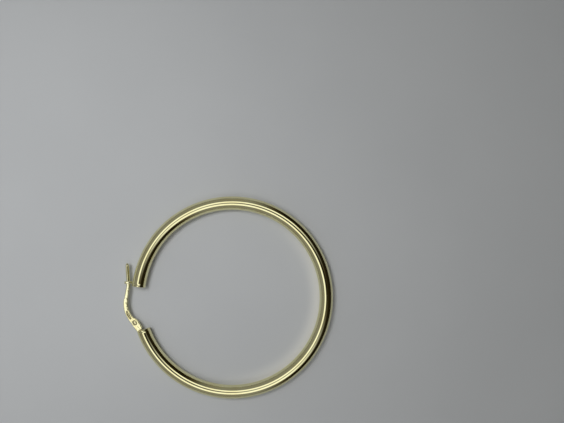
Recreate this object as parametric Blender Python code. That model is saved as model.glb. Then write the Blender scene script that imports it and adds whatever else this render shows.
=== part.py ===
"""Tube hoop earring with a hinged ear wire, lying on its side as it rests by itself.

Metres, +Z up. The ring lies in the XY plane with its opening towards -X. The ear wire turns on a rivet
through one tube end, and its collar lies against the outside of the other end: the hoop is unfastened.
"""

import math
from collections import namedtuple

import bmesh
import bpy
from mathutils import Matrix, Vector

MM = 0.001

# Ring
HOOP_OUTER_DIAMETER = 45.0 * MM
TUBE_DIAMETER = 3.0 * MM
TUBE_WALL = 0.2 * MM
END_GAP = 9.6 * MM
OPENING_DIRECTION = math.radians(186.65)
END_CAP_THICKNESS = 0.4 * MM
END_CHAMFER = 0.1 * MM
CATCH_HOLE_DIAMETER = 1.3 * MM
CATCH_SET = 0.12 * MM
CATCH_SET_START = math.radians(45)
CATCH_SET_END = math.radians(4)

# Hinge in the lower tube end
HINGE_DEPTH = 0.9 * MM
RIVET_DIAMETER = 0.5 * MM
RIVET_CLEARANCE = 0.04 * MM
TONGUE_WIDTH = 1.0 * MM
TONGUE_SIDE_CLEARANCE = 0.1 * MM
TONGUE_END_CLEARANCE = 0.36 * MM

# Ear wire
PLATE_THICKNESS = 0.7 * MM
PLATE_WIDTH = 1.58 * MM
PLATE_GAP = 0.24 * MM
PLATE_EDGE = 0.08 * MM
PIN_DIAMETER = 0.78 * MM
PIN_BEYOND_COLLAR = 4.3 * MM
PIN_TAPER = 0.9 * MM
COLLAR_WIDTH = 1.85 * MM
COLLAR_HEIGHT = 1.1 * MM
COLLAR_CORNER = 0.3 * MM
COLLAR_THICKNESS = 0.5 * MM
COLLAR_EDGE = 0.12 * MM
COLLAR_ABOVE_BEND = 0.74 * MM
COLLAR_REST_GAP = 0.04 * MM
CARTOUCHE_DEPTH = 0.1 * MM
SPRING_OPEN = 1.6 * MM

# Faceting
RING_STEP_DEGREES = 5
TUBE_SIDES = 20
WIRE_SIDES = 16
WIRE_STEP = 0.4 * MM
ROUND_END_STEPS = 4
HOLE_SIDES = 16

# Worked out from the sizes above
RING_RADIUS = (HOOP_OUTER_DIAMETER - TUBE_DIAMETER) / 2
TUBE_RADIUS = TUBE_DIAMETER / 2
BORE_RADIUS = TUBE_RADIUS - TUBE_WALL
HALF_OPENING = math.asin(END_GAP / 2 / RING_RADIUS)
CATCH_ANGLE = OPENING_DIRECTION - HALF_OPENING + math.tau
HINGE_ANGLE = OPENING_DIRECTION + HALF_OPENING
HINGE_OFFSET = BORE_RADIUS - TONGUE_WIDTH / 2 - TONGUE_END_CLEARANCE
SLOT_HEIGHT = PLATE_THICKNESS + 2 * TONGUE_SIDE_CLEARANCE
PLATE_START = HINGE_DEPTH + PLATE_GAP
WIRE_REACH = HINGE_DEPTH + END_GAP + SPRING_OPEN

# The wire's straight legs between the rivet and the pin, each with the bend that ends it
Leg = namedtuple("Leg", "name share_of_reach turn_degrees share_of_bend_radius")
WIRE_LEGS = (
    Leg("shank", 0.560, -46.8, 0.47),
    Leg("bar", 0.447, 13.0, 0.12),
)

# The wire between the plate's shoulder and the collar. The plate leans inwards from the centreline.
Form = namedtuple("Form", "share_of_run share_of_width share_of_lean roundness")
WIRE_FORMS = (
    Form(0.000, 0.86, 0.05, 0.00),
    Form(0.025, 0.91, 0.06, 0.00),
    Form(0.070, 0.96, 0.08, 0.00),
    Form(0.150, 1.00, 0.11, 0.00),
    Form(0.205, 0.93, 0.09, 0.00),
    Form(0.265, 0.75, 0.00, 0.00),
    Form(0.320, 0.67, 0.00, 0.00),
    Form(0.420, 0.67, 0.00, 0.00),
    Form(0.520, 0.64, 0.00, 0.00),
    Form(0.682, 0.61, 0.00, 0.00),
    Form(0.700, 0.52, 0.00, 0.15),
    Form(1.000, 0.50, 0.00, 0.40),
)

# Plain oval recesses struck in both faces of the plate
Cartouche = namedtuple("Cartouche", "name share_of_run share_of_length share_of_width")
CARTOUCHES = (
    Cartouche("wide", 0.170, 0.105, 0.56),
    Cartouche("narrow", 0.365, 0.180, 0.29),
)

# One cross-section of the wire: a rectangle with rounded corners, or a circle
Section = namedtuple("Section", "distance lean width height corner")


def remove_objects():
    """Empties the scene."""
    for obj in list(bpy.data.objects):
        bpy.data.objects.remove(obj, do_unlink=True)


def metal(name, colour, roughness):
    """A plain polished metal."""
    made = bpy.data.materials.new(name)
    made.use_nodes = True
    shader = made.node_tree.nodes["Principled BSDF"]
    shader.inputs["Base Color"].default_value = (*colour, 1.0)
    shader.inputs["Roughness"].default_value = roughness
    shader.inputs["Metallic"].default_value = 1.0
    return made


def skin(rings):
    """A closed surface through rings of equal count, with a face over the first and the last."""
    bm = bmesh.new()
    loops = [[bm.verts.new(point) for point in ring] for ring in rings]
    for low, high in zip(loops, loops[1:]):
        for i in range(len(low)):
            j = (i + 1) % len(low)
            bm.faces.new((low[i], low[j], high[j], high[i]))
    bm.faces.new(loops[0])
    bm.faces.new(loops[-1])
    bmesh.ops.recalc_face_normals(bm, faces=bm.faces)
    return bm


def add_object(name, bm, parent, finish=None):
    """An object from a bmesh, shaded smooth across its shallow edges."""
    mesh = bpy.data.meshes.new(name)
    bm.to_mesh(mesh)
    bm.free()
    mesh.shade_smooth()
    mesh.set_sharp_from_angle(angle=math.radians(35))
    obj = bpy.data.objects.new(name, mesh)
    bpy.context.scene.collection.objects.link(obj)
    obj.parent = parent
    if finish:
        mesh.materials.append(finish)
    return obj


def use_cutter(target, cutter, operation="DIFFERENCE"):
    """Cuts target with cutter, which is left out of the build."""
    cutter.hide_render = True
    cutter.display_type = "WIRE"
    cut = target.modifiers.new(cutter.name, "BOOLEAN")
    cut.operation = operation
    cut.object = cutter
    cut.solver = "EXACT"


def polar(radius, angle, height=0.0):
    """A point at a radius and angle round the ring's centre."""
    return Vector((radius * math.cos(angle), radius * math.sin(angle), height))


def ring_radius(angle):
    """The ring's radius at an angle. Near the catch end the ring is set in, which springs the pin."""
    share = (CATCH_SET_START - (CATCH_ANGLE - angle)) / (CATCH_SET_START - CATCH_SET_END)
    share = min(1.0, max(0.0, share))
    return RING_RADIUS - CATCH_SET * share * share * (3 - 2 * share)


def tube_ring(angle, radius):
    """The tube's cross-section at an angle round the hoop, with flats above and below."""
    middle = ring_radius(angle)
    corner = radius / math.cos(math.pi / TUBE_SIDES)
    turns = [math.tau * (k + 0.5) / TUBE_SIDES for k in range(TUBE_SIDES)]
    return [polar(middle + corner * math.cos(t), angle, corner * math.sin(t)) for t in turns]


def ring_angles(start, end):
    """Angles round the ring from start to end, on whole steps between them."""
    step = math.radians(RING_STEP_DEGREES)
    first = math.floor(start / step + 1.3)
    last = math.ceil(end / step - 1.3)
    return [start, *(step * k for k in range(first, last + 1)), end]


def tube_envelope_rings():
    """The outside of the tube, with chamfered ends."""
    inset = END_CHAMFER / RING_RADIUS
    body = [tube_ring(a, TUBE_RADIUS) for a in ring_angles(HINGE_ANGLE + inset, CATCH_ANGLE - inset)]
    mouth = TUBE_RADIUS - END_CHAMFER
    return [tube_ring(HINGE_ANGLE, mouth), *body, tube_ring(CATCH_ANGLE, mouth)]


def hollow_tube_rings():
    """The outside of the tube, then in through the catch's hole and back along the bore."""
    cap = END_CAP_THICKNESS / RING_RADIUS
    hole = CATCH_HOLE_DIAMETER / 2
    angles = ring_angles(HINGE_ANGLE + cap, CATCH_ANGLE - cap)
    bore = [tube_ring(angle, BORE_RADIUS) for angle in reversed(angles)]
    return [
        *tube_envelope_rings(),
        tube_ring(CATCH_ANGLE, hole),
        tube_ring(CATCH_ANGLE - cap, hole),
        *bore,
    ]


def cylinder(radius, height, sides=HOLE_SIDES):
    """An upright cylinder about the origin, with flats towards the axes."""
    bm = bmesh.new()
    bmesh.ops.create_cone(
        bm,
        cap_ends=True,
        segments=sides,
        radius1=radius,
        radius2=radius,
        depth=height,
        matrix=Matrix.Rotation(math.pi / sides, 4, "Z"),
    )
    return bm


def hinge_point():
    """The rivet's place: inside the tube end, towards the outside of the ring."""
    end = polar(RING_RADIUS, HINGE_ANGLE)
    outward = polar(1.0, HINGE_ANGLE)
    out_of_tube = polar(1.0, HINGE_ANGLE - math.pi / 2)
    return end - out_of_tube * HINGE_DEPTH + outward * HINGE_OFFSET


def hinge_slot():
    """The saw cut that the ear wire's tongue swings out through, in the tube end's own directions."""
    along = HINGE_DEPTH + TONGUE_WIDTH / 2 + TONGUE_END_CLEARANCE
    inner = HINGE_OFFSET - TONGUE_WIDTH / 2 - TONGUE_SIDE_CLEARANCE
    low = Vector((inner, -along, -SLOT_HEIGHT / 2))
    high = Vector((TUBE_DIAMETER, TUBE_DIAMETER, SLOT_HEIGHT / 2))
    bm = bmesh.new()
    size = Matrix.Diagonal((high - low).to_4d())
    bmesh.ops.create_cube(bm, size=1.0, matrix=Matrix.Translation((low + high) / 2) @ size)
    outward = polar(1.0, HINGE_ANGLE)
    out_of_tube = polar(1.0, HINGE_ANGLE - math.pi / 2)
    place = Matrix((outward, out_of_tube, Vector((0, 0, 1)))).transposed().to_4x4()
    bm.transform(Matrix.Translation(polar(RING_RADIUS, HINGE_ANGLE)) @ place)
    bmesh.ops.recalc_face_normals(bm, faces=bm.faces)
    return bm


def build_hoop(frame, gold):
    """The hollow tube with its soldered end caps, the hinge's slot and the rivet's holes."""
    hoop = add_object("hoop_tube", skin(hollow_tube_rings()), frame, gold)
    slot = add_object("hinge_slot_cutter", hinge_slot(), frame)
    hole_radius = RIVET_DIAMETER / 2 + RIVET_CLEARANCE
    hole = add_object("rivet_hole_cutter", cylinder(hole_radius, 2 * TUBE_DIAMETER), frame)
    hole.location = hinge_point()
    use_cutter(hoop, slot)
    use_cutter(hoop, hole)


def build_rivet(frame, gold):
    """The rivet, filed flush with the tube's curve above and below."""
    rivet = add_object("hinge_rivet", cylinder(RIVET_DIAMETER / 2, 2 * TUBE_DIAMETER), frame, gold)
    rivet.location = hinge_point()
    envelope = add_object("tube_envelope_cutter", skin(tube_envelope_rings()), frame)
    use_cutter(rivet, envelope, "INTERSECT")


class WirePath:
    """The ear wire's centreline in its own plane: the rivet at the origin and the shank along +X."""

    def __init__(self):
        """Lays the legs end to end, with a round bend after each."""
        self.pieces = []
        self.length = 0.0
        trim = 0.0
        for leg in WIRE_LEGS:
            turn = math.radians(leg.turn_degrees)
            radius = leg.share_of_bend_radius * WIRE_REACH
            next_trim = radius * math.tan(abs(turn) / 2)
            self._add(leg.share_of_reach * WIRE_REACH - trim - next_trim, 0.0)
            self._add(radius * abs(turn), turn)
            trim = next_trim
        self.collar = self.length + COLLAR_ABOVE_BEND - trim
        self._add(self.collar + PIN_BEYOND_COLLAR - self.length, 0.0)

    def _add(self, length, turn):
        """Appends a straight run, or an arc where turn isn't zero."""
        self.pieces.append((self.length, length, turn))
        self.length += length

    def at(self, distance):
        """The point and the heading at a distance from the rivet."""
        point = Vector((0.0, 0.0, 0.0))
        heading = 0.0
        for start, length, turn in self.pieces:
            run = min(distance - start, length)
            part = turn * run / length
            chord = run if turn == 0 else 2 * (length / turn) * math.sin(part / 2)
            point = point + polar(chord, heading + part / 2)
            heading += part
            if distance <= start + length:
                break
        return point, heading

    def run(self, share):
        """The distance at a share of the run from the plate's shoulder to the collar's underside."""
        return PLATE_START + share * (self.collar - COLLAR_THICKNESS / 2 - PLATE_START)


def tongue_sections():
    """The tongue, with its round end about the rivet."""
    radius = TONGUE_WIDTH / 2
    sections = []
    for i in range(ROUND_END_STEPS + 1):
        turn = math.radians(78) * (1 - i / ROUND_END_STEPS)
        width = TONGUE_WIDTH * math.cos(turn)
        corner = min(PLATE_EDGE, width / 2)
        sections.append(Section(-radius * math.sin(turn), 0.0, width, PLATE_THICKNESS, corner))
    waist = PLATE_START - PLATE_EDGE
    sections.append(Section(waist, 0.0, TONGUE_WIDTH, PLATE_THICKNESS, PLATE_EDGE))
    return sections


def form_section(distance, width, lean, roundness):
    """A section of the run, from the flat plate's form to the round bar's."""
    height = PLATE_THICKNESS + (width - PLATE_THICKNESS) * roundness
    corner = PLATE_EDGE + (width / 2 - PLATE_EDGE) * roundness
    return Section(distance, lean, width, height, corner)


def run_sections(path):
    """The plate and the bar, with steps short enough to follow the bends."""
    rows = []
    for form in WIRE_FORMS:
        width = form.share_of_width * PLATE_WIDTH
        lean = form.share_of_lean * PLATE_WIDTH
        rows.append((path.run(form.share_of_run), width, lean, form.roundness))
    sections = [form_section(*rows[0])]
    for low, high in zip(rows, rows[1:]):
        steps = math.ceil((high[0] - low[0]) / WIRE_STEP)
        for i in range(1, steps + 1):
            mixed = [a + (b - a) * i / steps for a, b in zip(low, high)]
            sections.append(form_section(*mixed))
    return sections


def pin_sections(path):
    """The flattened collar, the pin and its tapered tip."""
    half = COLLAR_THICKNESS / 2
    collar = [
        Section(distance, 0.0, COLLAR_WIDTH - inset, COLLAR_HEIGHT - inset, COLLAR_CORNER)
        for distance, inset in (
            (path.collar - half, 2 * COLLAR_EDGE),
            (path.collar - half + COLLAR_EDGE, 0.0),
            (path.collar + half - COLLAR_EDGE, 0.0),
            (path.collar + half, 2 * COLLAR_EDGE),
        )
    ]
    pin = [
        Section(distance, 0.0, width, width, width / 2)
        for distance, width in (
            (path.collar + half, PIN_DIAMETER),
            (path.length - PIN_TAPER, PIN_DIAMETER),
            (path.length - 0.4 * PIN_TAPER, 0.84 * PIN_DIAMETER),
            (path.length - 0.1 * PIN_TAPER, 0.55 * PIN_DIAMETER),
            (path.length, 0.25 * PIN_DIAMETER),
        )
    ]
    return [*collar, *pin]


def section_ring(path, section):
    """The section's points, square to the wire's path."""
    centre, heading = path.at(section.distance)
    side = polar(1.0, heading + math.pi / 2)
    centre = centre - side * section.lean
    corner = section.corner / math.cos(math.pi / WIRE_SIDES)
    points = []
    for k in range(WIRE_SIDES):
        turn = math.tau * (k + 0.5) / WIRE_SIDES
        middle_across = math.copysign(section.width / 2 - section.corner, math.cos(turn))
        middle_above = math.copysign(section.height / 2 - section.corner, math.sin(turn))
        across = middle_across + corner * math.cos(turn)
        above = middle_above + corner * math.sin(turn)
        points.append(centre + side * across + Vector((0.0, 0.0, above)))
    return points


def cartouche_cutter(path, cartouche, side):
    """An oval punch that enters one face of the plate."""
    length = cartouche.share_of_length * (path.run(1.0) - path.run(0.0))
    width = cartouche.share_of_width * PLATE_WIDTH
    distance = path.run(cartouche.share_of_run)
    centre, heading = path.at(distance)
    inwards = polar(plate_lean(cartouche.share_of_run), heading - math.pi / 2)
    bm = cylinder(0.5, 2 * CARTOUCHE_DEPTH)
    bm.transform(Matrix.Diagonal((length, width, 1.0, 1.0)))
    bm.transform(Matrix.Rotation(heading, 4, "Z"))
    bm.transform(Matrix.Translation(centre + inwards + Vector((0, 0, side * PLATE_THICKNESS / 2))))
    return bm


def plate_lean(share):
    """How far the plate leans inwards at a share of the run."""
    for low, high in zip(WIRE_FORMS, WIRE_FORMS[1:]):
        if share <= high.share_of_run:
            part = (share - low.share_of_run) / (high.share_of_run - low.share_of_run)
            return PLATE_WIDTH * (low.share_of_lean + (high.share_of_lean - low.share_of_lean) * part)
    return 0.0


def rest_turn(path):
    """The wire's turn about the rivet that lays its collar against the outside of the catch end."""
    hinge = hinge_point()
    collar, _ = path.at(path.collar)
    outside = ring_radius(CATCH_ANGLE) + TUBE_RADIUS
    needed = outside + COLLAR_REST_GAP + COLLAR_WIDTH / 2
    squares = hinge.length_squared + collar.length_squared - needed**2
    between = math.acos(squares / (2 * hinge.length * collar.length))
    to_centre = math.atan2(-hinge.y, -hinge.x)
    return to_centre + between - math.atan2(collar.y, collar.x)


def build_ear_wire(frame, gold):
    """The struck ear wire: tongue, plate, bent bar, collar and pin in one piece."""
    path = WirePath()
    sections = [*tongue_sections(), *run_sections(path), *pin_sections(path)]
    wire = add_object("ear_wire", skin([section_ring(path, s) for s in sections]), frame, gold)
    hole_radius = RIVET_DIAMETER / 2 + RIVET_CLEARANCE
    hole = add_object("tongue_hole_cutter", cylinder(hole_radius, 2 * PLATE_THICKNESS), wire)
    use_cutter(wire, hole)
    for cartouche in CARTOUCHES:
        for face, side in (("upper", 1), ("lower", -1)):
            name = f"{cartouche.name}_{face}_cartouche_cutter"
            use_cutter(wire, add_object(name, cartouche_cutter(path, cartouche, side), wire))
    wire.location = hinge_point()
    wire.rotation_euler = (0.0, 0.0, rest_turn(path))


def stand_on_origin(frame):
    """Moves the whole object so that the middle of its box's underside is the origin."""
    bpy.context.view_layer.update()
    depsgraph = bpy.context.evaluated_depsgraph_get()
    corners = []
    for obj in frame.children:
        if not obj.hide_render:
            shown = obj.evaluated_get(depsgraph)
            corners += [shown.matrix_world @ vertex.co for vertex in shown.data.vertices]
    low = Vector([min(c[i] for c in corners) for i in range(3)])
    high = Vector([max(c[i] for c in corners) for i in range(3)])
    frame.location = Vector((-(low.x + high.x) / 2, -(low.y + high.y) / 2, -low.z))


def main():
    """Builds the earring."""
    remove_objects()
    gold = metal("polished_gold", (0.83, 0.72, 0.38), 0.12)
    frame = bpy.data.objects.new("hoop_centre", None)
    bpy.context.scene.collection.objects.link(frame)
    build_hoop(frame, gold)
    build_rivet(frame, gold)
    build_ear_wire(frame, gold)
    stand_on_origin(frame)


main()
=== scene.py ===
"""Polished tube hoop earring with a hinged ear wire, lying unfastened on pale paper.

Lengths are in metres. The ring lies in the XY plane with its opening towards -X, as in the frame.
"""

from __future__ import annotations

import logging
import math
from dataclasses import dataclass, field, replace
from enum import Enum
from typing import Iterable, Iterator, Sequence

import bmesh
import bpy
from mathutils import Matrix, Vector

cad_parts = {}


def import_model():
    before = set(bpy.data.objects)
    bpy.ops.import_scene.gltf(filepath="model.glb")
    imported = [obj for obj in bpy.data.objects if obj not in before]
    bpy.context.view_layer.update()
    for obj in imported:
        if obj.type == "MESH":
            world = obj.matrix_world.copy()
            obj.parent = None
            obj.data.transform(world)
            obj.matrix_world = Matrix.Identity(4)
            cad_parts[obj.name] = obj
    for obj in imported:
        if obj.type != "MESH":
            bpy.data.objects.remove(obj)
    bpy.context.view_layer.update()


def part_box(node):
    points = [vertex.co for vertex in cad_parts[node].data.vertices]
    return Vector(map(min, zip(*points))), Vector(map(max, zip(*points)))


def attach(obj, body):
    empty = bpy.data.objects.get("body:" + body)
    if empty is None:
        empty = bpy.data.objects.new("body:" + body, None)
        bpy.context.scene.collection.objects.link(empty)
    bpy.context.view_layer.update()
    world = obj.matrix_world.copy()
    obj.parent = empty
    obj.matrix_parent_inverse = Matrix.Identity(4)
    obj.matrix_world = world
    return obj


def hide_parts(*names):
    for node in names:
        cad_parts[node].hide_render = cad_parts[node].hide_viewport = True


LOG = logging.getLogger("earring")
MM = 0.001
IMAGE_WIDTH = 564
# How far the texture coordinates run round a piece, whatever its girth.
ROUND_LENGTH = 10 * MM
# The least distance that anything is divided by.
SMALL = 0.001

Pair = tuple[float, float]
Triple = tuple[float, float, float]


class Output(Enum):
    """Output sockets that are asked for by name."""

    UV = "UV"
    OBJECT = "Object"
    DIRECTION = "Generated"


def mix(low: float, high: float, share: float) -> float:
    """The value at a share of the way from low to high."""
    return low + (high - low) * share


def smooth_share(value: float, low: float, high: float) -> float:
    """0 at low, 1 at high, with an even curve between them."""
    share = min(1.0, max(0.0, (value - low) / (high - low)))
    return share * share * (3.0 - 2.0 * share)


def polar(radius: float, angle: float, height: float = 0.0) -> Vector:
    """A point at a radius and an angle round the origin."""
    return Vector((radius * math.cos(angle), radius * math.sin(angle), height))


class Signal:
    """A node's output socket that takes part in Python expressions."""

    def __init__(self, graph: Graph, socket: bpy.types.NodeSocket) -> None:
        """Keeps the socket and the graph that it belongs to."""
        self.graph = graph
        self.socket = socket

    def _math(self, operation: str, *values: Signal | float) -> Signal:
        """Adds a Math node with its inputs in order."""
        inputs = dict(enumerate(values))
        return self.graph.signal("ShaderNodeMath", {"operation": operation}, inputs)

    def __add__(self, other: Signal | float) -> Signal:
        """This value plus another."""
        return self._math("ADD", self, other)

    def __sub__(self, other: Signal | float) -> Signal:
        """This value less another."""
        return self._math("SUBTRACT", self, other)

    def __rsub__(self, other: float) -> Signal:
        """A number less this value."""
        return self._math("SUBTRACT", other, self)

    def __mul__(self, other: Signal | float) -> Signal:
        """This value times another."""
        return self._math("MULTIPLY", self, other)

    def __truediv__(self, other: Signal | float) -> Signal:
        """This value over another."""
        return self._math("DIVIDE", self, other)

    __radd__ = __add__
    __rmul__ = __mul__

    def arccos(self) -> Signal:
        """The angle whose cosine this value is."""
        return self._math("ARCCOSINE", self)

    def root(self) -> Signal:
        """The square root."""
        return self._math("SQRT", self)

    def largest(self, other: Signal | float) -> Signal:
        """The larger of this value and another."""
        return self._math("MAXIMUM", self, other)

    def parts(self) -> tuple[Signal, ...]:
        """The X, Y and Z of this vector."""
        node = self.graph.add("ShaderNodeSeparateXYZ", inputs={"Vector": self})
        return tuple(Signal(self.graph, output) for output in node.outputs)

    def step(self, low: float, high: float) -> Signal:
        """0 below low and 1 above high, with an even curve between.

        Args:
            low: Where the curve leaves 0.
            high: Where the curve reaches 1.

        Returns:
            The curve's value.
        """
        settings = {"interpolation_type": "SMOOTHSTEP"}
        inputs = {"Value": self, "From Min": low, "From Max": high}
        return self.graph.signal("ShaderNodeMapRange", settings, inputs)

    def band(self, rise: Pair, fall: Pair) -> Signal:
        """1 between a rising and a falling edge, and 0 outside them."""
        return self.step(*rise) * (1.0 - self.step(*fall))


Value = Signal | float | Sequence[float]


def flat_length(x: Signal, y: Signal) -> Signal:
    """The length of a flat vector, which is never zero."""
    return (x * x + y * y).root().largest(SMALL)


def flat_reach(x: Signal, y: Signal, turn: float) -> Signal:
    """How far a flat vector reaches in a direction, which is a turn about Z."""
    return x * math.cos(turn) + y * math.sin(turn)


class Graph:
    """A node tree that is written from Python."""

    def __init__(self, tree: bpy.types.NodeTree) -> None:
        """Empties the tree."""
        self.tree = tree
        tree.nodes.clear()

    def add(
        self, kind: str, settings: dict[str, object] | None = None, inputs: dict | None = None
    ) -> bpy.types.Node:
        """Adds a node.

        Args:
            kind: The node's type.
            settings: The node's own properties.
            inputs: Input sockets by name or number, each a value or a Signal.

        Returns:
            The node.
        """
        node = self.tree.nodes.new(kind)
        for name, value in (settings or {}).items():
            setattr(node, name, value)
        for key, value in (inputs or {}).items():
            self.feed(node.inputs[key], value)
        return node

    def feed(self, socket: bpy.types.NodeSocket, value: Value) -> None:
        """Gives an input its value.

        Args:
            socket: The input.
            value: A Signal, which is linked, or a fixed value.
        """
        if isinstance(value, Signal):
            self.tree.links.new(value.socket, socket)
        else:
            socket.default_value = value

    def signal(
        self,
        kind: str,
        settings: dict[str, object] | None = None,
        inputs: dict | None = None,
        output: str | int = 0,
    ) -> Signal:
        """Adds a node and gives one of its outputs, by name or number."""
        return Signal(self, self.add(kind, settings, inputs).outputs[output])

    def finish(self, kind: str, result: Signal) -> None:
        """Links the result to a new output node."""
        self.feed(self.add(kind).inputs[0], result)

    def coordinates(self, output: Output, scale: Triple = (1.0, 1.0, 1.0)) -> Signal:
        """Texture coordinates, stretched along each axis."""
        found = self.signal("ShaderNodeTexCoord", output=output.value)
        return self.signal("ShaderNodeMapping", inputs={"Vector": found, "Scale": scale})

    def blend(self, share: Signal, low: Signal | Triple, high: Triple) -> Signal:
        """Mixes two colours.

        Args:
            share: The second colour's share.
            low: The first colour.
            high: The second colour.

        Returns:
            The colour between them.
        """
        first = low if isinstance(low, Signal) else (*low, 1.0)
        inputs = {0: share, 6: first, 7: (*high, 1.0)}
        return self.signal("ShaderNodeMix", {"data_type": "RGBA"}, inputs, output=2)

    def distance(self, place: Signal, centre: Triple) -> Signal:
        """The distance of a place from a fixed centre."""
        settings = {"operation": "DISTANCE"}
        return self.signal("ShaderNodeVectorMath", settings, {0: place, 1: centre}, "Value")

    def bump(
        self, height: Signal, depth: float, strength: float = 1.0, normal: Signal | None = None
    ) -> Signal:
        """A normal tilted by a height.

        Args:
            height: The height in lengths of depth.
            depth: That length.
            strength: How much of the tilt counts.
            normal: The normal that is tilted, or the surface's own.

        Returns:
            The normal.
        """
        inputs = {"Height": height, "Strength": strength, "Distance": depth}
        if normal is not None:
            inputs["Normal"] = normal
        return self.signal("ShaderNodeBump", inputs=inputs)


def new_material(name: str) -> tuple[bpy.types.Material, Graph]:
    """Makes a material.

    Args:
        name: The material's name.

    Returns:
        The material and its empty graph.
    """
    material = bpy.data.materials.new(name)
    material.use_nodes = True
    return material, Graph(material.node_tree)


@dataclass(frozen=True)
class Cloud:
    """Noise from 0 to 1.

    Attributes:
        scale: How many clouds there are in a metre.
        detail: How many finer layers lie over them.
        rough: How strong each finer layer is.
        edge: The values between which the clouds set in.
        share: How much they count beside other clouds.
    """

    scale: float
    detail: float = 2.0
    rough: float = 0.5
    edge: Pair = (0.0, 1.0)
    share: float = 1.0

    def over(self, place: Signal) -> Signal:
        """The noise at a place."""
        inputs = dict(Vector=place, Scale=self.scale, Detail=self.detail, Roughness=self.rough)
        return place.graph.signal("ShaderNodeTexNoise", inputs=inputs)


@dataclass(frozen=True)
class Patch:
    """A dark oval on a piece, for tarnish in a struck recess and for painted shade between parts.

    Attributes:
        centre: Its middle in the object's coordinates.
        heading: The turn of its long axis about Z.
        half_size: Half its length and half its width.
        rim_only: Whether it's clean in the middle, as a rubbed recess is.
        rim_rise: Where a rim's tarnish sets in, as shares of the half size.
        rim_fall: Where a rim's tarnish ends.
        full_fall: Where a patch without a clean middle ends, as the painted shade across the tongue
            does.
    """

    centre: Triple
    heading: float
    half_size: Pair
    rim_only: bool
    rim_rise: Pair = (0.35, 0.70)
    rim_fall: Pair = (0.95, 1.15)
    full_fall: Pair = (0.80, 1.15)

    def tarnish_and_shade(self, place: Signal) -> Signal:
        """How strongly the patch darkens the metal.

        Args:
            place: The place on the piece.

        Returns:
            That share, from 0 to 1.
        """
        inputs = {
            "Vector": place,
            "Location": self.centre,
            "Rotation": (0.0, 0.0, self.heading),
            "Scale": (*self.half_size, 1.0),
        }
        local = place.graph.signal("ShaderNodeMapping", {"vector_type": "TEXTURE"}, inputs)
        reach = place.graph.distance(local, (0.0, 0.0, 0.0))
        if self.rim_only:
            return reach.band(self.rim_rise, self.rim_fall)
        return 1.0 - reach.step(*self.full_fall)


@dataclass(frozen=True)
class GoldFinish:
    """Yellow gold with fine lines along the piece, faint swirls and a cloudy haze.

    Attributes:
        name: The material's name.
        bright: The clean metal's colour.
        warm: The metal's colour under the thin haze of wear.
        gloss: The roughness of the clean metal and of the rubbed metal.
        line_depth: How deep the lines from polishing are.
        dimple_depth: How deep the low dimples from striking are.
        dimple_size: How wide the dimples are.
        struck_to: The lengths along the piece between which the dimples end.
        patches: The places of the dark tarnish in struck recesses, and of the painted shade
            in the gap where the tongue leaves the tube.
        tarnish_and_shade: The colour under that tarnish and that painted shade.
        tarnish_and_shade_share: How much of the metal's colour they hide.
        wear: The clouds of wear, with their share in the roughness.
        warm_share: How much of the warm colour they bring.
        lines: The lines from polishing, with their share in the roughness.
        line_stretch: How many of them there are in a metre along and round the piece.
    """

    name: str
    bright: Triple
    warm: Triple
    gloss: Pair
    line_depth: float
    dimple_depth: float
    dimple_size: float
    struck_to: Pair = (1.0, 2.0)
    patches: tuple[Patch, ...] = ()
    # Dark colour for tarnish in struck recesses and for painted shade in the gap where the tongue
    # leaves the tube.
    tarnish_and_shade: Triple = (0.20, 0.16, 0.07)
    tarnish_and_shade_share: float = 0.8
    wear: Cloud = Cloud(220.0, 4.0, 0.6, edge=(0.42, 0.68), share=0.6)
    warm_share: float = 0.8
    lines: Cloud = Cloud(1.0, 3.0, 0.7, edge=(0.35, 0.75), share=0.4)
    line_stretch: Triple = (40.0, 6000.0, 1.0)

    def make(self) -> bpy.types.Material:
        """Makes the material.

        Returns:
            The material.
        """
        material, graph = new_material(self.name)
        place = graph.coordinates(Output.OBJECT)
        worn = self.wear.over(place).step(*self.wear.edge)
        lines = self.lines.over(graph.coordinates(Output.UV, self.line_stretch))
        colour = graph.blend(worn * self.warm_share, self.bright, self.warm)
        # Each patch darkens the colour: tarnish in a struck recess, and painted shade across the
        # tongue in the gap at the tube's end.
        for patch in self.patches:
            colour = graph.blend(patch.tarnish_and_shade(place) * self.tarnish_and_shade_share, colour, self.tarnish_and_shade)
        low, high = self.gloss
        rubbed = worn * self.wear.share + lines.step(*self.lines.edge) * self.lines.share
        length, *_ = graph.coordinates(Output.UV).parts()
        dimples = Cloud(1.0 / self.dimple_size).over(place) - 0.5
        struck = dimples * (1.0 - length.step(*self.struck_to))
        scratched = graph.bump(lines, self.line_depth)
        inputs = {
            "Base Color": colour,
            "Metallic": 1.0,
            "Roughness": low + (high - low) * rubbed,
            "Normal": graph.bump(struck, self.dimple_depth, normal=scratched),
        }
        shader = graph.signal("ShaderNodeBsdfPrincipled", inputs=inputs)
        graph.finish("ShaderNodeOutputMaterial", shader)
        return material


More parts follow.
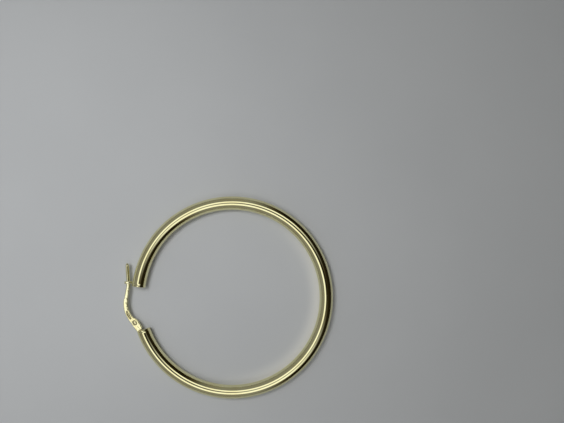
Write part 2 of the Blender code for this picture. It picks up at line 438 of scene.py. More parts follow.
@dataclass(frozen=True)
class PaperFinish:
    """Smooth pale paper with a faint tooth, with painted light inside the ring where the tube would
    throw light back on it.

    Attributes:
        name: The material's name.
        light: The paper's colour.
        dark: The colour of its faint clouds.
        painted_glow: The painted light: the paper's lighter colour where the tube would throw light
            back on it.
        painted_glow_turn: The turn about Z of the middle of that painted light, seen from the
            ring's centre.
        painted_glow_rise: The distances from the ring's centre between which that painted light
            grows.
        painted_glow_fall: The distances under the tube between which it ends.
        tooth_depth: How deep the tooth is.
        tooth_strength: How much of its tilt counts.
        roughness: The paper's roughness.
        clouds: The faint clouds, with their share in the tint.
        fibres: The fibres, which are the tooth, with their share in the tint.
    """

    name: str
    light: Triple
    dark: Triple
    painted_glow: Triple
    painted_glow_turn: float
    painted_glow_rise: Pair
    painted_glow_fall: Pair
    tooth_depth: float = 0.01 * MM
    tooth_strength: float = 0.6
    roughness: float = 0.62
    clouds: Cloud = Cloud(25.0, 3.0, 0.55, edge=(0.3, 0.7), share=0.6)
    fibres: Cloud = Cloud(2600.0, 3.0, 0.6, share=0.4)

    def make(self) -> bpy.types.Material:
        """Makes the material, for paper whose origin is under the ring's centre.

        Returns:
            The material.
        """
        material, graph = new_material(self.name)
        place = graph.coordinates(Output.OBJECT)
        fibres = self.fibres.over(place)
        clouds = self.clouds.over(place).step(*self.clouds.edge)
        tint = clouds * self.clouds.share + fibres * self.fibres.share
        colour = graph.blend(tint, self.light, self.dark)
        # Painted light: the paper is made lighter in a band just inside the tube, standing in for
        # light that the tube throws back onto it.
        x, y, _ = place.parts()
        reach = flat_length(x, y)
        towards = flat_reach(x, y, self.painted_glow_turn) / reach
        painted_glow = towards.step(0.0, 1.0) * reach.band(self.painted_glow_rise, self.painted_glow_fall)
        inputs = {
            "Base Color": graph.blend(painted_glow, colour, self.painted_glow),
            "Roughness": self.roughness,
            "Normal": graph.bump(fibres, self.tooth_depth, self.tooth_strength),
        }
        shader = graph.signal("ShaderNodeBsdfPrincipled", inputs=inputs)
        graph.finish("ShaderNodeOutputMaterial", shader)
        return material


TUBE_GOLD = GoldFinish(
    name="polished_tube_gold",
    bright=(0.90, 0.86, 0.52),
    warm=(0.85, 0.78, 0.43),
    gloss=(0.02, 0.06),
    line_depth=0.0006 * MM,
    dimple_depth=0.002 * MM,
    dimple_size=2.5 * MM,
)
WIRE_GOLD = GoldFinish(
    name="struck_wire_gold",
    bright=(0.97, 0.935, 0.61),
    warm=(0.86, 0.79, 0.42),
    gloss=(0.03, 0.10),
    line_depth=0.0008 * MM,
    dimple_depth=0.030 * MM,
    dimple_size=0.38 * MM,
)
RIVET_GOLD = GoldFinish(
    name="filed_rivet_gold",
    bright=(0.90, 0.81, 0.47),
    warm=(0.83, 0.72, 0.38),
    gloss=(0.10, 0.24),
    line_depth=0.001 * MM,
    dimple_depth=0.001 * MM,
    dimple_size=0.3 * MM,
)
PALE_PAPER = PaperFinish(
    name="pale_paper",
    light=(0.685, 0.707, 0.735),
    dark=(0.645, 0.667, 0.695),
    # Painted light, where the tube throws light back on the paper.
    painted_glow=(0.96, 0.96, 0.95),
    painted_glow_turn=math.radians(-20),
    painted_glow_rise=(16.2 * MM, 20.8 * MM),
    painted_glow_fall=(21.0 * MM, 22.0 * MM),
)


def mesh_of(bm: bmesh.types.BMesh, name: str) -> bpy.types.Mesh:
    """Turns a shape into a mesh, and frees the shape.

    Args:
        bm: The shape.
        name: The mesh's name.

    Returns:
        The mesh.
    """
    made = bpy.data.meshes.new(name)
    bm.to_mesh(made)
    bm.free()
    return made


@dataclass
class Skin:
    """A surface laid over rings of equal count, with lengths along and around it as its UV.

    Attributes:
        rings: Pairs of the length along the piece and the ring's points.
    """

    rings: list[tuple[float, list[Vector]]] = field(default_factory=list)

    def add(self, along: float, points: list[Vector]) -> None:
        """Adds the next ring."""
        self.rings.append((along, points))

    def mesh(self, name: str) -> bpy.types.Mesh:
        """The closed mesh, with a flat face over its first and last ring.

        Args:
            name: The mesh's name.

        Returns:
            The mesh, with its faces outwards.
        """
        bm = bmesh.new()
        uv = bm.loops.layers.uv.new("lengths")
        loops = [[bm.verts.new(point) for point in points] for _, points in self.rings]
        count = len(loops[0])
        for row, (low, high) in enumerate(zip(loops, loops[1:])):
            ends = (self.rings[row][0], self.rings[row + 1][0])
            for i in range(count):
                j = (i + 1) % count
                quad = bm.faces.new((low[i], low[j], high[j], high[i]))
                for loop, along, turn in zip(quad.loops, (0, 0, 1, 1), (i, i + 1, i + 1, i)):
                    loop[uv].uv = (ends[along], turn / count * ROUND_LENGTH)
        bm.faces.new(loops[0])
        bm.faces.new(loops[-1])
        bmesh.ops.recalc_face_normals(bm, faces=bm.faces)
        return mesh_of(bm, name)


def add_object(data: bpy.types.Mesh | bpy.types.Light | bpy.types.Camera) -> bpy.types.Object:
    """Puts an object in the scene.

    Args:
        data: Its data, which gives it its name.

    Returns:
        The object.
    """
    obj = bpy.data.objects.new(data.name, data)
    bpy.context.scene.collection.objects.link(obj)
    return obj


def cut(obj: bpy.types.Object, cutters: Iterable[bpy.types.Object]) -> None:
    """Cuts an object with others, which are then removed.

    Args:
        obj: The object that is cut.
        cutters: The objects whose space is taken out of it.
    """
    cutters = list(cutters)
    for cutter in cutters:
        modifier = obj.modifiers.new(cutter.name, "BOOLEAN")
        modifier.operation = "DIFFERENCE"
        modifier.solver = "EXACT"
        modifier.object = cutter
    bpy.context.view_layer.update()
    shown = obj.evaluated_get(bpy.context.evaluated_depsgraph_get())
    result = bpy.data.meshes.new_from_object(shown)
    obj.modifiers.clear()
    result.name = obj.name
    obj.data = result
    for cutter in cutters:
        bpy.data.objects.remove(cutter, do_unlink=True)


def finish_piece(
    obj: bpy.types.Object, finish: GoldFinish, body: str, node: str, crease: float = 35.0
) -> None:
    """Shades a piece, dresses it and ties it to the frame.

    Args:
        obj: The piece.
        finish: Its finish.
        body: The CAD body that it moves with.
        node: The CAD node that it stands for.
        crease: Edges sharper than this many degrees stay crisp.
    """
    obj.data.materials.clear()
    obj.data.materials.append(finish.make())
    obj.data.shade_smooth()
    obj.data.set_sharp_from_angle(angle=math.radians(crease))
    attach(obj, body)
    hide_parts(node)
    LOG.info("%s: %d faces, finish %s", obj.name, len(obj.data.polygons), finish.name)


@dataclass
class HoopTube:
    """The hollow ring, with a soldered cap in each end.

    Attributes:
        centre: The ring's centre.
        outer_diameter: The ring's diameter outside.
        tube_diameter: The tube's diameter.
        wall: The tube's wall.
        end_gap: The straight distance between the tube's two ends.
        opening: The direction of the opening's middle.
        cap: How thick each end cap is.
        lip: The rounding of each end.
        seam_depth: The shallow line where a cap is soldered in.
        seam_width: That line's width.
        catch_hole: The hole for the pin.
        catch_set: How far the catch end is set in, which springs the pin.
        catch_set_start: The angle before the catch end where that starts.
        catch_set_end: The angle before the catch end where that is complete.
        hinge_depth: The rivet's distance inside the tube's lower end.
        rivet_diameter: The rivet's diameter.
        rivet_gap: The line left round the filed rivet.
        tongue_width: The ear wire's tongue.
        tongue_gap: The room outside the tongue's end.
        slot_height: The slot's opening, up and down.
        slot_side: The slot's room beside the tongue, towards the ring's middle.
        hole_rim: The rounding of the catch hole's rim.
        rim_shares: The rim's rings, as shares of its rounding from the face inwards.
        seam_shape: The seam's rings: shares of half its width, and of its depth.
        lip_steps: Steps in the rounding of each end.
        sides: Points round the tube.
        hole_sides: Points round the rivet's hole.
        step: The body's step round the ring.
        bore_step: How many of those steps the plain bore takes at once.
    """

    centre: Vector
    outer_diameter: float = 45.0 * MM
    tube_diameter: float = 3.0 * MM
    wall: float = 0.2 * MM
    end_gap: float = 9.6 * MM
    opening: float = math.radians(186.65)
    cap: float = 0.4 * MM
    lip: float = 0.12 * MM
    seam_depth: float = 0.03 * MM
    seam_width: float = 0.12 * MM
    catch_hole: float = 1.3 * MM
    catch_set: float = 0.12 * MM
    catch_set_start: float = math.radians(45)
    catch_set_end: float = math.radians(4)
    hinge_depth: float = 0.9 * MM
    rivet_diameter: float = 0.5 * MM
    rivet_gap: float = 0.015 * MM
    tongue_width: float = 1.0 * MM
    tongue_gap: float = 0.36 * MM
    slot_height: float = 0.9 * MM
    slot_side: float = 0.1 * MM
    hole_rim: float = 0.06 * MM
    rim_shares: Triple = (0.0, 0.3, 1.0)
    seam_shape: tuple[Pair, ...] = ((-1.0, 0.0), (-0.5, 0.5), (0.0, 1.0), (0.5, 0.5), (1.0, 0.0))
    lip_steps: int = 5
    sides: int = 64
    hole_sides: int = 48
    step: float = math.radians(1.0)
    bore_step: int = 3

    @property
    def radius(self) -> float:
        """The radius of the tube's centreline."""
        return (self.outer_diameter - self.tube_diameter) / 2

    @property
    def tube_radius(self) -> float:
        """The tube's radius."""
        return self.tube_diameter / 2

    @property
    def half_opening(self) -> float:
        """Half the angle of the opening."""
        return math.asin(self.end_gap / 2 / self.radius)

    @property
    def hinge_end(self) -> float:
        """The angle of the end with the hinge."""
        return self.opening + self.half_opening

    @property
    def catch_end(self) -> float:
        """The angle of the end that takes the pin, a turn further on."""
        return self.opening - self.half_opening + math.tau

    @property
    def hinge_offset(self) -> float:
        """How far the rivet is from the tube's centreline, outwards."""
        bore = self.tube_radius - self.wall
        return bore - self.tongue_width / 2 - self.tongue_gap

    @property
    def out_of_hinge_end(self) -> Vector:
        """The direction that the tube's hinge end faces."""
        return polar(1.0, self.hinge_end - math.pi / 2)

    @property
    def hinge(self) -> Vector:
        """The rivet's middle."""
        end = polar(self.radius + self.hinge_offset, self.hinge_end)
        return self.centre + end - self.out_of_hinge_end * self.hinge_depth

    def radius_at(self, angle: float) -> float:
        """The radius of the tube's centreline, which is less towards the catch end."""
        free = smooth_share(self.catch_end - angle, self.catch_set_end, self.catch_set_start)
        return self.radius - self.catch_set * (1.0 - free)

    def ring(self, angle: float, radius: float) -> list[Vector]:
        """Lays out a cross-section of the tube.

        Args:
            angle: Its place round the ring.
            radius: Its radius.

        Returns:
            Its points.
        """
        middle = self.radius_at(angle)
        turns = [math.tau * k / self.sides for k in range(self.sides)]
        return [
            self.centre + polar(middle + radius * math.cos(turn), angle, radius * math.sin(turn))
            for turn in turns
        ]

    def end_profile(self) -> list[Pair]:
        """Lays out the outside of one end, from the mouth inwards.

        Returns:
            Distances from the end, and radii.
        """
        full = self.tube_radius
        turns = [math.pi / 2 * i / self.lip_steps for i in range(self.lip_steps + 1)]
        rows = [
            (self.lip * (1 - math.cos(turn)), full - self.lip * (1 - math.sin(turn)))
            for turn in turns
        ]
        for share, depth in self.seam_shape:
            rows.append((self.cap + share * self.seam_width / 2, full - depth * self.seam_depth))
        return rows

    def skin(self) -> Skin:
        """Lays out the outside from the hinge end to the catch end, then the bore back again.

        Returns:
            The closed surface, which goes in through the catch hole.
        """
        made = Skin()
        profile = self.end_profile()
        inner = max(along for along, _ in profile) / self.radius

        def add(angle: float, radius: float) -> None:
            """Adds a ring."""
            made.add(angle * self.radius, self.ring(angle, radius))

        for along, radius in profile:
            add(self.hinge_end + along / self.radius, radius)
        start, end = self.hinge_end + inner, self.catch_end - inner
        count = round((end - start) / self.step)
        for i in range(1, count):
            add(mix(start, end, i / count), self.tube_radius)
        for along, radius in reversed(profile):
            add(self.catch_end - along / self.radius, radius)
        hole, rim = self.catch_hole / 2, self.hole_rim
        for inwards in self.rim_shares:
            add(self.catch_end - inwards * rim / self.radius, hole + (1.0 - inwards) ** 2 * rim)
        bore_start = self.catch_end - self.cap / self.radius
        bore_end = self.hinge_end + self.cap / self.radius
        add(bore_start, hole)
        bore_count = count // self.bore_step
        for i in range(bore_count + 1):
            add(mix(bore_start, bore_end, i / bore_count), self.tube_radius - self.wall)
        return made

    def slot_cutter(self) -> bpy.types.Object:
        """Makes the space of the saw cut that the ear wire swings in.

        Returns:
            The cutter.
        """
        along = self.hinge_depth + self.tongue_width / 2 + self.tongue_gap
        inner = self.hinge_offset - self.tongue_width / 2 - self.slot_side
        low = Vector((inner, -along, -self.slot_height / 2))
        high = Vector((self.tube_diameter, self.tube_diameter, self.slot_height / 2))
        bm = bmesh.new()
        size = Matrix.Diagonal((high - low).to_4d())
        bmesh.ops.create_cube(bm, size=1.0, matrix=Matrix.Translation((low + high) / 2) @ size)
        axes = (polar(1.0, self.hinge_end), self.out_of_hinge_end, Vector((0, 0, 1)))
        end = self.centre + polar(self.radius, self.hinge_end)
        bm.transform(Matrix.Translation(end) @ Matrix(axes).transposed().to_4x4())
        bmesh.ops.recalc_face_normals(bm, faces=bm.faces)
        return add_object(mesh_of(bm, "slot_cutter"))

    def rivet_cutter(self, height: float) -> bpy.types.Object:
        """Makes the space of the rivet and the line round it.

        Args:
            height: The whole height of that space, half of it above the ring's middle plane.

        Returns:
            The cutter.
        """
        bm = bmesh.new()
        radius = self.rivet_diameter / 2 + self.rivet_gap
        bmesh.ops.create_cone(
            bm,
            cap_ends=True,
            segments=self.hole_sides,
            radius1=radius,
            radius2=radius,
            depth=height,
        )
        cutter = add_object(mesh_of(bm, "rivet_cutter"))
        cutter.location = self.hinge
        return cutter

    def build(self) -> None:
        """Builds, cuts and dresses the ring."""
        obj = add_object(self.skin().mesh("gold_tube"))
        cut(obj, [self.slot_cutter(), self.rivet_cutter(2 * self.tube_diameter)])
        finish_piece(obj, TUBE_GOLD, "hoop", "hoop_tube")


@dataclass
class HingeRivet:
    """The rivet, filed to the tube's curve above and below.

    Attributes:
        tube: The tube that holds it.
        edge: The small rounding left by the file.
        rings: Rings over each end.
        sides: Points round it.
    """

    tube: HoopTube
    edge: float = 0.02 * MM
    rings: int = 6
    sides: int = 40

    def surface(self, point: Vector) -> float:
        """Finds the tube's surface above its middle plane.

        Args:
            point: A point seen from above.

        Returns:
            The surface's height there.
        """
        flat = point - self.tube.centre
        flat.z = 0.0
        across = flat.length - self.tube.radius
        return math.sqrt(self.tube.tube_radius**2 - across**2)

    def build(self) -> None:
        """Builds and dresses the rivet."""
        full = self.tube.rivet_diameter / 2
        skin = Skin()
        rows = [(full * i / self.rings, 0.0) for i in range(1, self.rings)]
        rows += [(full - self.edge, 0.0), (full, self.edge)]
        for side, ordered in ((1, rows), (-1, rows[::-1])):
            for radius, drop in ordered:
                points = []
                for k in range(self.sides):
                    point = self.tube.hinge + polar(radius, math.tau * k / self.sides)
                    height = self.surface(point) - drop
                    points.append(Vector((point.x, point.y, self.tube.centre.z + side * height)))
                skin.add(radius, points)
        obj = add_object(skin.mesh("filed_rivet"))
        finish_piece(obj, RIVET_GOLD, "hoop", "hinge_rivet")


@dataclass(frozen=True)
class Leg:
    """A straight part of the ear wire and the bend that ends it, as shares of the wire's reach."""

    share: float
    turn: float
    bend_share: float


@dataclass(frozen=True)
class Form:
    """The ear wire's form at a share of its run: width and lean are shares of the plate's width."""

    share: float
    width: float
    lean: float
    roundness: float


@dataclass(frozen=True)
class Section:
    """A cross-section of the ear wire: a rectangle with round corners, or a circle.

    Attributes:
        along: Its distance along the wire from the rivet.
        width: The width in the ring's plane.
        height: The height square to that plane.
        corner: The corners' radius.
        lean: How far it is set inwards from the wire's centreline.
        dome: How much lower its faces are at their edges, as a share of half the height.
    """

    along: float
    width: float
    height: float
    corner: float
    lean: float = 0.0
    dome: float = 0.0


@dataclass(frozen=True)
class Recess:
    """A plain oval struck into the plate, with a raised lip and a raised middle.

    Attributes:
        share: Its middle, as a share of the run.
        length: Its length, as a share of the run.
        width: Its width, as a share of the plate's.
        wall: Where its wall stands, as shares of its half size, as are the next three.
        lip_rise: Where the lip rises.
        lip_fall: Where the lip ends.
        crown: Where the middle falls away.
        lip_share: The lip's height, as a share of the depth.
        crown_share: The middle's height, as a share of the depth.
    """

    share: float
    length: float
    width: float
    wall: Pair = (0.80, 1.0)
    lip_rise: Pair = (0.95, 1.08)
    lip_fall: Pair = (1.08, 1.25)
    crown: Pair = (0.15, 0.62)
    lip_share: float = 0.15
    crown_share: float = 0.45

    def depth_at(self, reach: float) -> float:
        """How deep it is struck.

        Args:
            reach: The distance from its middle, as a share of its half size.

        Returns:
            The share of its depth, which is negative on the lip.
        """
        lip = smooth_share(reach, *self.lip_rise) * (1.0 - smooth_share(reach, *self.lip_fall))
        crown = 1.0 - smooth_share(reach, *self.crown)
        floor = 1.0 - smooth_share(reach, *self.wall)
        return floor - self.lip_share * lip - self.crown_share * crown


@dataclass
class EarWire:
    """The struck ear wire: tongue, plate with two plain recesses, bent bar, collar and pin.

    Attributes:
        tube: The tube that it hangs in.
        thickness: The plate's thickness.
        plate_width: The plate at its widest.
        plate_gap: From the tube's end to the plate's shoulder.
        edge: The rounding of the plate's edges.
        bar_dome: The bar's dome, as a share of half its height.
        bar_dome_start: The shares of the run between which the dome sets in.
        pin_diameter: The pin's diameter.
        pin_beyond_collar: The pin's length past the collar's middle.
        pin_taper: The length of the rounded point.
        collar_width: The collar's width.
        collar_thickness: The collar's thickness.
        collar_height: The flattened collar's height.
        collar_corner: The rounding of the collar's four corners.
        collar_edge: The rounding of the collar's faces.
        collar_dome: The collar's dome, as a share of half its height.
        collar_above_bend: From the last bend's corner to the collar.
        collar_rest_gap: The room between the collar and the tube that it rests beside.
        recess_depth: How deep the ovals are struck.
        recess_end: The share of the run past which there are none.
        face_edge: How far down a corner still counts as face, as a share of its radius.
        tongue_painted_shade: The painted shade across the tongue where it leaves the tube: shares
        of the gap and the plate's width.
        spring_open: How far the ring is sprung open to fasten it.
        sides: Points round the wire.
        step: The distance between its sections.
        round_steps: Steps in the round end of the tongue and in the pin's point.
        tongue_turn: The turn at which the tongue's round end stops.
        tongue_shares: The sections between the tongue and the shoulder.
        collar_steps: Steps in the rounding of the collar.
        pin_steps: Steps along the straight of the pin.
        point_turn: The turn at which the pin's point stops.
        point_power: How blunt the point is.
        legs: Its straight parts and bends.
        forms: Its forms along the run from shoulder to collar.
        recesses: The ovals.
        pieces: Start, length and turn of each straight or arc, laid out from the legs.
        length: The whole length from the rivet.
        collar: The collar's middle, from the rivet.
    """

    tube: HoopTube
    thickness: float = 0.7 * MM
    plate_width: float = 1.58 * MM
    plate_gap: float = 0.24 * MM
    edge: float = 0.08 * MM
    bar_dome: float = 0.09
    bar_dome_start: Pair = (0.40, 0.50)
    pin_diameter: float = 0.78 * MM
    pin_beyond_collar: float = 4.3 * MM
    pin_taper: float = 0.9 * MM
    collar_width: float = 1.85 * MM
    collar_thickness: float = 0.5 * MM
    collar_height: float = 1.1 * MM
    collar_corner: float = 0.3 * MM
    collar_edge: float = 0.12 * MM
    collar_dome: float = 0.25
    collar_above_bend: float = 0.74 * MM
    collar_rest_gap: float = 0.04 * MM
    recess_depth: float = 0.1 * MM
    recess_end: float = 0.6
    face_edge: float = 0.1
    # Painted shade across the tongue, in the gap between the tube's end and the plate.
    tongue_painted_shade: Pair = (1.3, 1.6)
    spring_open: float = 1.6 * MM
    sides: int = 96
    step: float = 0.05 * MM
    round_steps: int = 12
    tongue_turn: float = math.radians(86)
    tongue_shares: Triple = (0.3, 0.6, 0.92)
    collar_steps: int = 6
    pin_steps: int = 20
    point_turn: float = math.radians(84)
    point_power: float = 0.8
    legs: tuple[Leg, ...] = (
        Leg(0.560, math.radians(-46.8), 0.47),
        Leg(0.447, math.radians(13.0), 0.12),
    )
    forms: tuple[Form, ...] = (
        Form(0.000, 0.86, 0.05, 0.00),
        Form(0.025, 0.91, 0.06, 0.00),
        Form(0.070, 0.96, 0.08, 0.00),
        Form(0.150, 1.00, 0.11, 0.00),
        Form(0.205, 0.93, 0.09, 0.00),
        Form(0.265, 0.75, 0.00, 0.00),
        Form(0.320, 0.67, 0.00, 0.00),
        Form(0.420, 0.67, 0.00, 0.00),
        Form(0.520, 0.64, 0.00, 0.00),
        Form(0.682, 0.61, 0.00, 0.00),
        Form(0.700, 0.52, 0.00, 0.15),
        Form(1.000, 0.50, 0.00, 0.40),
    )
    recesses: tuple[Recess, ...] = (Recess(0.170, 0.105, 0.56), Recess(0.365, 0.180, 0.29))
    pieces: list[Triple] = field(default_factory=list, init=False)
    length: float = field(default=0.0, init=False)
    collar: float = field(default=0.0, init=False)

    def __post_init__(self) -> None:
        """Lays out the centreline's straight runs and arcs."""
        reach = self.tube.hinge_depth + self.tube.end_gap + self.spring_open
        trim = 0.0
        for leg in self.legs:
            radius = leg.bend_share * reach
            next_trim = radius * math.tan(abs(leg.turn) / 2)
            self._add_piece(leg.share * reach - trim - next_trim, 0.0)
            self._add_piece(radius * abs(leg.turn), leg.turn)
            trim = next_trim
        self.collar = self.length + self.collar_above_bend - trim
        self._add_piece(self.collar + self.pin_beyond_collar - self.length, 0.0)

    def _add_piece(self, length: float, turn: float) -> None:
        """Appends a straight run, or an arc where turn isn't zero."""
        self.pieces.append((self.length, length, turn))
        self.length += length

    def at(self, distance: float) -> tuple[Vector, float]:
        """The centreline in the wire's own plane, with the shank along +X.

        Args:
            distance: The length along the wire from the rivet.

        Returns:
            The point and the heading there.
        """
        point = Vector((0.0, 0.0, 0.0))
        heading = 0.0
        for start, length, turn in self.pieces:
            run = min(distance - start, length)
            part = turn * run / length
            chord = run if turn == 0 else 2 * (length / turn) * math.sin(part / 2)
            point = point + polar(chord, heading + part / 2)
            heading += part
            if distance <= start + length:
                break
        return point, heading

    @property
    def shoulder(self) -> float:
        """The distance at which the plate starts."""
        return self.tube.hinge_depth + self.plate_gap

    @property
    def under_collar(self) -> float:
        """The distance at which the collar starts."""
        return self.collar - self.collar_thickness / 2

    @property
    def run_length(self) -> float:
        """The length from the shoulder to the collar's underside."""
        return self.under_collar - self.shoulder

    @property
    def rest_turn(self) -> float:
        """Finds the turn about the rivet that lays the collar beside the tube's other end.

        Returns:
            The turn, from the triangle of the rivet, the ring's centre and the collar.
        """
        hinge = self.tube.hinge - self.tube.centre
        collar, _ = self.at(self.collar)
        outside = self.tube.radius_at(self.tube.catch_end) + self.tube.tube_radius
        needed = outside + self.collar_rest_gap + self.collar_width / 2
        squares = hinge.length_squared + collar.length_squared - needed**2
        between = math.acos(squares / (2 * hinge.length * collar.length))
        return math.atan2(-hinge.y, -hinge.x) + between - math.atan2(collar.y, collar.x)

    def form_at(self, share: float) -> Form:
        """Finds the form on smooth curves through the listed forms.

        Args:
            share: The share of the run.

        Returns:
            The form there.
        """
        for low, high in zip(self.forms, self.forms[1:]):
            if share <= high.share:
                part = smooth_share(share, low.share, high.share)
                names = ("width", "lean", "roundness")
                return Form(share, *(mix(getattr(low, n), getattr(high, n), part) for n in names))
        return self.forms[-1]

    @staticmethod
    def outline(turn: float, across: float, above: float, corner: float) -> Pair:
        """Where a ray meets a rectangle with round corners.

        Args:
            turn: The ray's angle.
            across: Half the width.
            above: Half the height.
            corner: The corners' radius.

        Returns:
            The point across and above.
        """
        c, s = abs(math.cos(turn)), abs(math.sin(turn))
        if s * across <= c * (above - corner):
            x, y = across, across * s / c
        elif c * above <= s * (across - corner):
            x, y = above * c / s, above
        else:
            middle = Vector((across - corner, above - corner))
            toward = middle.x * c + middle.y * s
            reach = toward + math.sqrt(max(0.0, toward**2 - middle.length_squared + corner**2))
            x, y = reach * c, reach * s
        return math.copysign(x, math.cos(turn)), math.copysign(y, math.sin(turn))

    def recess_at(self, share: float, across: float) -> float:
        """How deep the plate is struck at a place.

        Args:
            share: The share of the run.
            across: The distance from the plate's middle line.

        Returns:
            The depth, which is negative on the raised lip.
        """
        depth = 0.0
        for recess in self.recesses:
            along = (share - recess.share) / (recess.length / 2)
            beside = across / (recess.width * self.plate_width / 2)
            depth += self.recess_depth * recess.depth_at(math.hypot(along, beside))
        return depth

    def ring(self, section: Section) -> list[Vector]:
        """Lays out a section, square to the centreline.

        Args:
            section: The section.

        Returns:
            Its points.
        """
        centre, heading = self.at(section.along)
        side = polar(1.0, heading + math.pi / 2)
        share = (section.along - self.shoulder) / self.run_length
        half_width, half_height = section.width / 2, section.height / 2
        points = []
        for k in range(self.sides):
            turn = math.tau * (k + 0.5) / self.sides
            x, y = self.outline(turn, half_width, half_height, section.corner)
            y *= 1.0 - section.dome * (x / half_width) ** 2
            on_face = abs(y) > half_height - self.face_edge * section.corner
            if 0.0 < share < self.recess_end and on_face:
                y -= math.copysign(self.recess_at(share, x), y)
            points.append(centre + side * (x - section.lean) + Vector((0.0, 0.0, y)))
        return points

    def tongue(self) -> Iterator[Section]:
        """Lays out the tongue, with a round end about the rivet.

        Yields:
            Its sections.
        """
        full = self.tube.tongue_width
        for i in range(self.round_steps + 1):
            turn = self.tongue_turn * (1 - i / self.round_steps)
            width = full * math.cos(turn)
            corner = min(self.edge, width / 2)
            yield Section(-full / 2 * math.sin(turn), width, self.thickness, corner)
        for share in self.tongue_shares:
            yield Section(share * self.shoulder, full, self.thickness, self.edge)

    def run(self) -> Iterator[Section]:
        """Lays out the plate and the bar.

        Yields:
            Their sections.
        """
        count = round(self.run_length / self.step)
        for i in range(count + 1):
            share = i / count
            form = self.form_at(share)
            width = form.width * self.plate_width
            yield Section(
                along=self.shoulder + share * self.run_length,
                width=width,
                height=mix(self.thickness, width, form.roundness),
                corner=mix(self.edge, width / 2, form.roundness),
                lean=form.lean * self.plate_width,
                dome=self.bar_dome * smooth_share(share, *self.bar_dome_start),
            )

    def stop(self) -> Iterator[Section]:
        """Lays out the flattened collar.

        Yields:
            Its sections.
        """
        half = self.collar_thickness / 2
        for side in (-1, 1):
            for i in range(self.collar_steps + 1)[::-side]:
                turn = math.pi / 2 * i / self.collar_steps
                inset = 2 * self.collar_edge * (1 - math.cos(turn))
                yield Section(
                    along=self.collar + side * (half - self.collar_edge * (1 - math.sin(turn))),
                    width=self.collar_width - inset,
                    height=self.collar_height - inset,
                    corner=self.collar_corner,
                    dome=self.collar_dome,
                )

    def pin(self) -> Iterator[Section]:
        """Lays out the pin, down to its rounded point.

        Yields:
            Its sections.
        """
        start = self.collar + self.collar_thickness / 2
        taper = self.length - self.pin_taper
        rows = [(mix(start, taper, i / self.pin_steps), 1.0) for i in range(self.pin_steps)]
        for i in range(self.round_steps + 1):
            turn = self.point_turn * i / self.round_steps
            along = taper + self.pin_taper * math.sin(turn) / math.sin(self.point_turn)
            rows.append((along, math.cos(turn) ** self.point_power))
        for along, share in rows:
            width = share * self.pin_diameter
            yield Section(along, width, width, width / 2)

    def patch(self, share: float, length: float, width: float, rim_only: bool) -> Patch:
        """Lays a dark patch on the wire at rest, for tarnish and for painted shade.

        Args:
            share: The patch's middle, as a share of the run.
            length: Its length.
            width: Its width.
            rim_only: Whether it's clean in the middle.

        Returns:
            The patch.
        """
        middle, heading = self.at(self.shoulder + share * self.run_length)
        lean = self.form_at(share).lean * self.plate_width
        middle = middle + polar(lean, heading - math.pi / 2)
        middle.rotate(Matrix.Rotation(self.rest_turn, 3, "Z"))
        centre = tuple(self.tube.hinge + middle)
        return Patch(centre, heading + self.rest_turn, (length / 2, width / 2), rim_only)

    def patches(self) -> tuple[Patch, ...]:
        """Lays the tarnish in the recesses, and painted shade across the tongue where it leaves
        the tube, in the gap where shade falls.

        Returns:
            The patches of tarnish and of painted shade.
        """
        struck = [
            self.patch(r.share, r.length * self.run_length, r.width * self.plate_width, True)
            for r in self.recesses
        ]
        # Painted shade: the tongue is darkened in the gap between the tube's end and the plate's
        # shoulder, where shade falls.
        before_shoulder = -self.plate_gap / 2 / self.run_length
        length, width = self.tongue_painted_shade
        size = (length * self.plate_gap, width * self.plate_width)
        return (*struck, self.patch(before_shoulder, *size, False))

    def build(self) -> None:
        """Builds, drills and dresses the ear wire."""
        skin = Skin()
        for section in (*self.tongue(), *self.run(), *self.stop(), *self.pin()):
            skin.add(section.along, self.ring(section))
        mesh = skin.mesh("struck_ear_wire")
        mesh.transform(
            Matrix.Translation(self.tube.hinge) @ Matrix.Rotation(self.rest_turn, 4, "Z")
        )
        obj = add_object(mesh)
        cut(obj, [self.tube.rivet_cutter(2 * self.thickness)])
        struck_to = (self.under_collar - self.plate_width, self.under_collar)
        finish = replace(WIRE_GOLD, patches=self.patches(), struck_to=struck_to)
        finish_piece(obj, finish, "wire", "ear_wire")


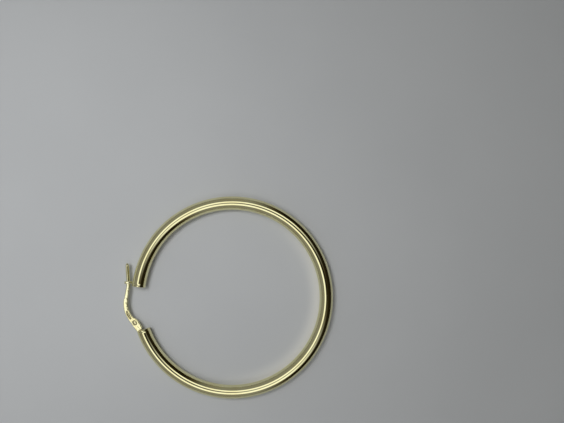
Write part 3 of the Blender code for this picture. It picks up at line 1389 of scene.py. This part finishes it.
@dataclass(frozen=True)
class LightTent:
    """Soft light all round: a bright ring overhead, open and dark towards +X.

    A direction's place is on a flat map: its degrees from straight up, towards +X and +Y.

    Attributes:
        shadow_place: The middle of the dark spot that the camera and its holder leave overhead.
        shadow_edge: Degrees from that middle at which the spot ends.
        ring_place: The middle of the bright ring.
        ring_edge: Degrees from that middle at which the ring ends.
        ring_level: The ring's brightness.
        wall_level: The brightness of the walls.
        gap_turn: The turn about Z of the ring's gap.
        gap_edge: The cosines from the gap's middle between which it opens.
        dark_edge: The cosines from +X between which the wall darkens.
        dark_share: How much of the wall's light is missing there.
        dark_from: Degrees from straight up at which the darkness starts.
        dark_to: Degrees at which it ends, below the level of the paper.
        lit_colour: The colour of the light.
        dim_colour: The colour of what is dark.
        dim_level: The brightness at which that colour is gone.
    """

    shadow_place: Pair = (3.5, -0.8)
    shadow_edge: Pair = (3.0, 15.5)
    ring_place: Pair = (3.8, -3.3)
    ring_edge: Pair = (30.0, 35.0)
    ring_level: float = 1.15
    wall_level: float = 0.22
    gap_turn: float = math.radians(-10)
    gap_edge: Pair = (0.41, 1.04)
    dark_edge: Pair = (0.10, 0.55)
    dark_share: float = 0.94
    dark_from: Pair = (1.0, 3.0)
    dark_to: Pair = (84.0, 110.0)
    lit_colour: Triple = (1.0, 0.995, 0.96)
    dim_colour: Triple = (1.0, 0.78, 0.36)
    dim_level: float = 0.16

    def build(self) -> None:
        """Writes the tent into the world."""
        world = bpy.data.worlds.new("light_tent")
        world.use_nodes = True
        graph = Graph(world.node_tree)
        x, y, z = graph.coordinates(Output.DIRECTION).parts()
        slope = z.arccos() * math.degrees(1.0)
        flat = flat_length(x, y)
        ahead, aside = x / flat, y / flat
        spot = graph.signal("ShaderNodeCombineXYZ", inputs={0: slope * ahead, 1: slope * aside})
        clear = graph.distance(spot, (*self.shadow_place, 0.0)).step(*self.shadow_edge)
        inside = 1.0 - graph.distance(spot, (*self.ring_place, 0.0)).step(*self.ring_edge)
        gap = flat_reach(ahead, aside, self.gap_turn).step(*self.gap_edge)
        ring = clear * inside * (1.0 - gap)
        dark = ahead.step(*self.dark_edge) * slope.band(self.dark_from, self.dark_to)
        wall = self.wall_level * (1.0 - self.dark_share * dark)
        level = (wall + (self.ring_level - wall) * ring) * clear
        lit = level.step(0.0, self.dim_level)
        colour = graph.blend(lit, self.dim_colour, self.lit_colour)
        inputs = {"Color": colour, "Strength": level}
        graph.finish("ShaderNodeOutputWorld", graph.signal("ShaderNodeBackground", inputs=inputs))
        bpy.context.scene.world = world
        LOG.info("light tent set up")


@dataclass(frozen=True)
class LeftLamp:
    """A soft lamp up on the left, which lights the paper and casts the shadows.

    Attributes:
        place: The lamp's place from the ring's centre.
        aim: Where it points, from the ring's centre.
        cone: The angle of its cone.
        softness: How far in from its edge the cone fades, as a share.
        radius: The radius of its round window.
        watts: Its power.
    """

    place: Triple = (-100.0 * MM, 70.0 * MM, 250.0 * MM)
    aim: Triple = (-45.5 * MM, 15.0 * MM, 0.0)
    cone: float = math.radians(51)
    softness: float = 1.0
    radius: float = 54.0 * MM
    watts: float = 0.955

    def build(self, centre: Vector) -> None:
        """Hangs the lamp.

        Args:
            centre: The ring's centre.
        """
        lamp = bpy.data.lights.new("left_lamp", "SPOT")
        lamp.spot_size = self.cone
        lamp.spot_blend = self.softness
        lamp.shadow_soft_size = self.radius
        lamp.energy = self.watts
        obj = add_object(lamp)
        obj.location = centre + Vector(self.place)
        back = Vector(self.place) - Vector(self.aim)
        obj.rotation_euler = back.to_track_quat("Z", "Y").to_euler()
        obj.visible_glossy = False
        LOG.info("left lamp hung")


@dataclass(frozen=True)
class Studio:
    """Pale paper, soft light and a camera that looks straight down.

    Attributes:
        centre: The ring's centre.
        paper_size: The paper's side.
        camera_offset: From the ring's centre to the point under the camera.
        lens: The focal length in millimetres.
        sensor: The sensor's width in millimetres.
        pixels_per_millimetre: The picture's scale at the ring's middle plane.
        sight: The nearest and the furthest that the camera sees.
    """

    centre: Vector
    paper_size: float = 3.0
    camera_offset: Pair = (11.14 * MM, 19.13 * MM)
    lens: float = 50.0
    sensor: float = 36.0
    pixels_per_millimetre: float = 4.49
    sight: Pair = (1.0 * MM, 10.0)

    def build_paper(self) -> None:
        """Lays the paper under the earring."""
        bm = bmesh.new()
        bmesh.ops.create_grid(bm, x_segments=4, y_segments=4, size=self.paper_size / 2)
        paper = add_object(mesh_of(bm, "paper"))
        paper.data.materials.append(PALE_PAPER.make())
        paper.location = (self.centre.x, self.centre.y, 0.0)
        LOG.info("paper laid")

    def build_camera(self) -> None:
        """Sets the camera above the paper."""
        data = bpy.data.cameras.new("camera")
        data.lens = self.lens
        data.sensor_width = self.sensor
        data.clip_start, data.clip_end = self.sight
        distance = IMAGE_WIDTH * self.lens / self.sensor / self.pixels_per_millimetre * MM
        obj = add_object(data)
        obj.location = self.centre + Vector((*self.camera_offset, distance))
        bpy.context.scene.camera = obj
        LOG.info("camera %.0f mm above the ring", distance / MM)

    def build(self) -> None:
        """Builds the whole studio."""
        bpy.context.scene.view_settings.view_transform = "Standard"
        self.build_paper()
        LightTent().build()
        LeftLamp().build(self.centre)
        self.build_camera()


def ring_centre() -> Vector:
    """Finds the ring's centre from the box of the CAD tube.

    Returns:
        The centre.
    """
    low, high = (Vector(corner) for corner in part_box("hoop_tube"))
    outer = HoopTube.outer_diameter / 2
    return Vector((high.x - outer, high.y - outer, (low.z + high.z) / 2))


def main() -> None:
    """Builds the earring and its studio in order."""
    logging.basicConfig(level=logging.INFO, format="%(name)s: %(message)s")
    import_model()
    centre = ring_centre()
    tube = HoopTube(centre)
    tube.build()
    HingeRivet(tube).build()
    EarWire(tube).build()
    Studio(centre).build()


if __name__ == "__main__":
    main()
